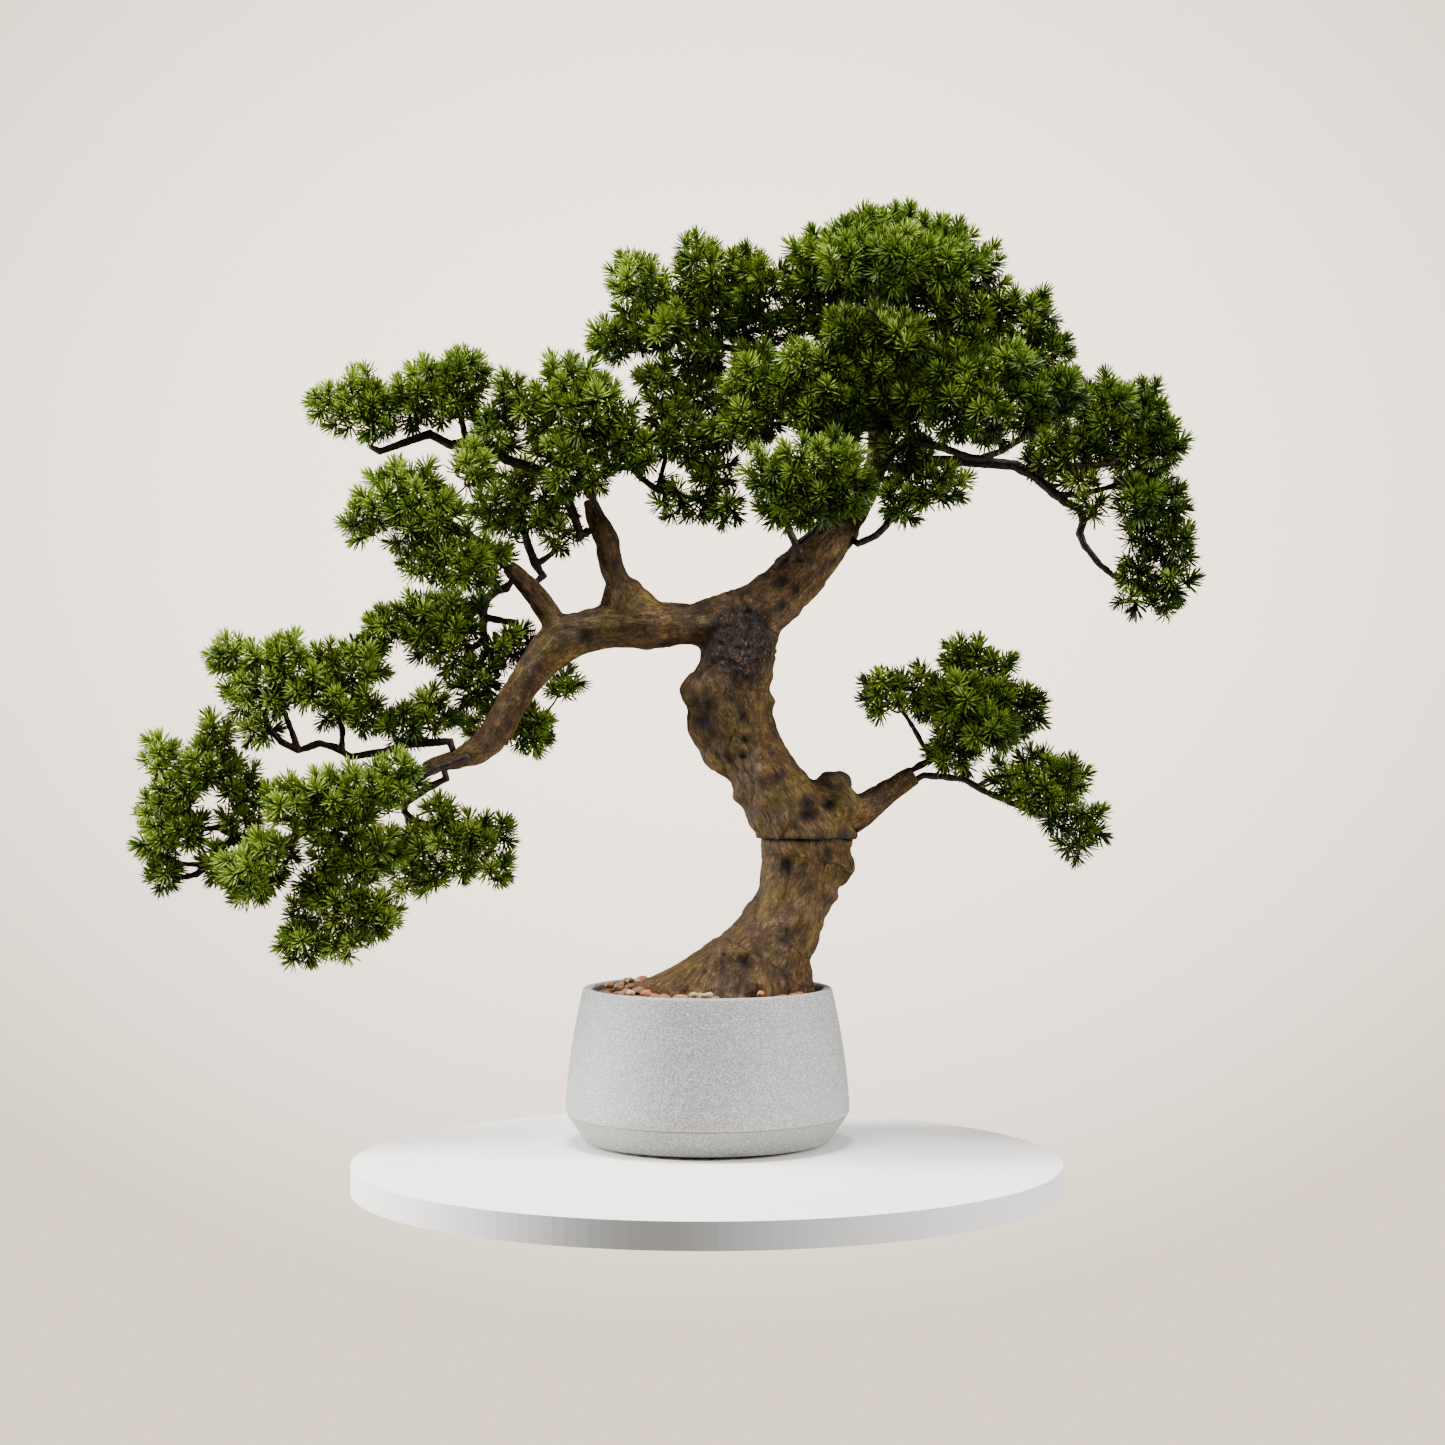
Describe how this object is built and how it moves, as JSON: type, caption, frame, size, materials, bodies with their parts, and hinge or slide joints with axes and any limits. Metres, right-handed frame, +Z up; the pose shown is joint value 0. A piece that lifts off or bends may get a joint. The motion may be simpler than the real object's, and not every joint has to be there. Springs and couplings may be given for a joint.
{
  "type": "artificial tabletop tree",
  "caption": "Artificial tabletop tree: windswept pine sprays pushed into a branching wooden trunk, set in pebbles in a round cement planter.",
  "frame": {"origin": "on the table under the middle of the pot, on the felt pad's underside", "axes": "+Z up, +X towards the drooping right spray and along the tree's width, -Y towards the front"},
  "size_m": [0.8354, 0.2268, 0.7408],
  "materials": {
    "pot_cement": "fine sandy grey cement",
    "felt": "felt",
    "ballast": "cast mortar",
    "foam": "rigid foam",
    "pebbles": "mixed tan, orange and white pebbles",
    "rod_steel": "plain",
    "dowel_wood": "plain",
    "bark": "rough brown bark",
    "stem_wrap": "dark brown moulded bark over wire",
    "needles": "green moulded needles"
  },
  "bodies": {
    "pot_and_wood": {"armature_rod": "rod_steel", "ballast_core": "ballast", "crown_leader": "bark", "felt_base_pad": "felt", "foam_filler": "foam", "fork_dowel": "dowel_wood", "fork_joint": "bark", "gravel_bed": "pebbles", "left_bough": "bark", "left_stub_bough": "bark", "low_right_stub": "bark", "pot": "pot_cement", "right_bough": "bark", "riser_bough": "bark", "trunk_lower": "bark", "trunk_upper": "bark"},
    "low_right_upper": {"low_right_upper_stem": "stem_wrap", "low_right_upper_needles": "needles"},
    "low_right_lower": {"low_right_lower_stem": "stem_wrap", "low_right_lower_needles": "needles"},
    "right_droop": {"right_droop_stem": "stem_wrap", "right_droop_needles": "needles"},
    "crown_mid_right": {"crown_mid_right_stem": "stem_wrap", "crown_mid_right_needles": "needles"},
    "crown_mid_left": {"crown_mid_left_stem": "stem_wrap", "crown_mid_left_needles": "needles"},
    "crown_back": {"crown_back_stem": "stem_wrap", "crown_back_needles": "needles"},
    "crown_left": {"crown_left_stem": "stem_wrap", "crown_left_needles": "needles"},
    "crown_shoulder": {"crown_shoulder_stem": "stem_wrap", "crown_shoulder_needles": "needles"},
    "crown_top": {"crown_top_stem": "stem_wrap", "crown_top_needles": "needles"},
    "crown_low_front": {"crown_low_front_stem": "stem_wrap", "crown_low_front_needles": "needles"},
    "crown_low_right": {"crown_low_right_stem": "stem_wrap", "crown_low_right_needles": "needles"},
    "bridge": {"bridge_stem": "stem_wrap", "bridge_needles": "needles"},
    "left_top_inner": {"left_top_inner_stem": "stem_wrap", "left_top_inner_needles": "needles"},
    "left_top_outer": {"left_top_outer_stem": "stem_wrap", "left_top_outer_needles": "needles"},
    "left_mid_outer": {"left_mid_outer_stem": "stem_wrap", "left_mid_outer_needles": "needles"},
    "left_mid_inner": {"left_mid_inner_stem": "stem_wrap", "left_mid_inner_needles": "needles"},
    "left_hang": {"left_hang_stem": "stem_wrap", "left_hang_needles": "needles"},
    "elbow_sprig": {"elbow_sprig_stem": "stem_wrap", "elbow_sprig_needles": "needles"},
    "low_left_front": {"low_left_front_stem": "stem_wrap", "low_left_front_needles": "needles"},
    "low_left_upper": {"low_left_upper_stem": "stem_wrap", "low_left_upper_needles": "needles"},
    "low_left_inner": {"low_left_inner_stem": "stem_wrap", "low_left_inner_needles": "needles"},
    "low_left_far": {"low_left_far_stem": "stem_wrap", "low_left_far_needles": "needles"}
  },
  "joints": [
    {"name": "low_right_upper_swivel", "type": "hinge", "parent": "pot_and_wood", "child": "low_right_upper", "pos_m": [0.16391, 0, 0.29758], "axis": [0.8638, 0, 0.5039], "range_deg": [-20, 20]},
    {"name": "low_right_lower_swivel", "type": "hinge", "parent": "pot_and_wood", "child": "low_right_lower", "pos_m": [0.16809, 0, 0.29041], "axis": [0.8638, 0, 0.5039], "range_deg": [-20, 20]},
    {"name": "right_droop_swivel", "type": "hinge", "parent": "pot_and_wood", "child": "right_droop", "pos_m": [0.14091, 0.00647, 0.53039], "axis": [0.9467, -0.2021, -0.2509], "range_deg": [-25, 25]},
    {"name": "crown_mid_right_swivel", "type": "hinge", "parent": "pot_and_wood", "child": "crown_mid_right", "pos_m": [0.1406, 0.00227, 0.54852], "axis": [0.5039, -0.8636, -0.0174], "range_deg": [-25, 25]},
    {"name": "crown_mid_left_swivel", "type": "hinge", "parent": "pot_and_wood", "child": "crown_mid_left", "pos_m": [0.12979, 0.00516, 0.57105], "axis": [-0.8245, -0.5651, 0.0284], "range_deg": [-25, 25]},
    {"name": "crown_back_swivel", "type": "hinge", "parent": "pot_and_wood", "child": "crown_back", "pos_m": [0.13578, 0.01818, 0.59109], "axis": [0.1107, 0.9937, 0.0148], "range_deg": [-25, 25]},
    {"name": "crown_left_swivel", "type": "hinge", "parent": "pot_and_wood", "child": "crown_left", "pos_m": [0.12485, 0.0107, 0.60879], "axis": [-0.9924, 0.1058, -0.0626], "range_deg": [-20, 20]},
    {"name": "crown_shoulder_swivel", "type": "hinge", "parent": "pot_and_wood", "child": "crown_shoulder", "pos_m": [0.13886, 0.01111, 0.62825], "axis": [0.9667, 0.2452, 0.0726], "range_deg": [-25, 25]},
    {"name": "crown_top_swivel", "type": "hinge", "parent": "pot_and_wood", "child": "crown_top", "pos_m": [0.13698, 0.00605, 0.66763], "axis": [0.1231, -0.1231, 0.9847], "range_deg": [-30, 30]},
    {"name": "crown_low_front_swivel", "type": "hinge", "parent": "pot_and_wood", "child": "crown_low_front", "pos_m": [0.07473, -0.01912, 0.46513], "axis": [-0.2062, -0.9426, 0.2628], "range_deg": [-25, 25]},
    {"name": "crown_low_right_swivel", "type": "hinge", "parent": "pot_and_wood", "child": "crown_low_right", "pos_m": [0.11635, -0.00518, 0.4808], "axis": [0.6235, -0.5421, -0.5633], "range_deg": [-20, 20]},
    {"name": "bridge_swivel", "type": "hinge", "parent": "pot_and_wood", "child": "bridge", "pos_m": [-0.09081, -0.002, 0.51464], "axis": [-0.1961, 0, 0.9806], "range_deg": [-25, 25]},
    {"name": "left_top_inner_swivel", "type": "hinge", "parent": "pot_and_wood", "child": "left_top_inner", "pos_m": [-0.08806, -0.01003, 0.50178], "axis": [0.2723, -0.9579, 0.0908], "range_deg": [-8, 12]},
    {"name": "left_top_outer_swivel", "type": "hinge", "parent": "pot_and_wood", "child": "left_top_outer", "pos_m": [-0.09474, -0.00307, 0.48804], "axis": [-0.8889, -0.1111, -0.4444], "range_deg": [-25, 6]},
    {"name": "left_mid_outer_swivel", "type": "hinge", "parent": "pot_and_wood", "child": "left_mid_outer", "pos_m": [-0.16157, -0.0019, 0.45984], "axis": [-0.7035, 0.1005, 0.7035], "range_deg": [-25, 25]},
    {"name": "left_mid_inner_swivel", "type": "hinge", "parent": "pot_and_wood", "child": "left_mid_inner", "pos_m": [-0.13596, 0.00137, 0.44881], "axis": [0.7249, 0.2941, 0.623], "range_deg": [-25, 6]},
    {"name": "left_hang_swivel", "type": "hinge", "parent": "pot_and_wood", "child": "left_hang", "pos_m": [-0.15749, 0.00244, 0.44762], "axis": [-0.6515, 0.3137, -0.6907], "range_deg": [-15, 25]},
    {"name": "elbow_sprig_swivel", "type": "hinge", "parent": "pot_and_wood", "child": "elbow_sprig", "pos_m": [-0.16736, 0.00227, 0.3414], "axis": [-0.4193, 0.8961, 0.1456], "range_deg": [-25, 25]},
    {"name": "low_left_front_swivel", "type": "hinge", "parent": "pot_and_wood", "child": "low_left_front", "pos_m": [-0.19008, -0.02233, 0.30851], "axis": [0.0315, -0.9956, -0.0883], "range_deg": [-25, 25]},
    {"name": "low_left_upper_swivel", "type": "hinge", "parent": "pot_and_wood", "child": "low_left_upper", "pos_m": [-0.20262, -0.01381, 0.31438], "axis": [-0.2375, -0.2019, 0.9502], "range_deg": [-25, 25]},
    {"name": "low_left_inner_swivel", "type": "hinge", "parent": "pot_and_wood", "child": "low_left_inner", "pos_m": [-0.20903, -0.01005, 0.29592], "axis": [0.2349, 0.2495, -0.9395], "range_deg": [-25, 25]},
    {"name": "low_left_far_swivel", "type": "hinge", "parent": "pot_and_wood", "child": "low_left_far", "pos_m": [-0.226, -0.009, 0.298], "axis": [-0.9363, 0, -0.3511], "range_deg": [-25, 25]}
  ]
}
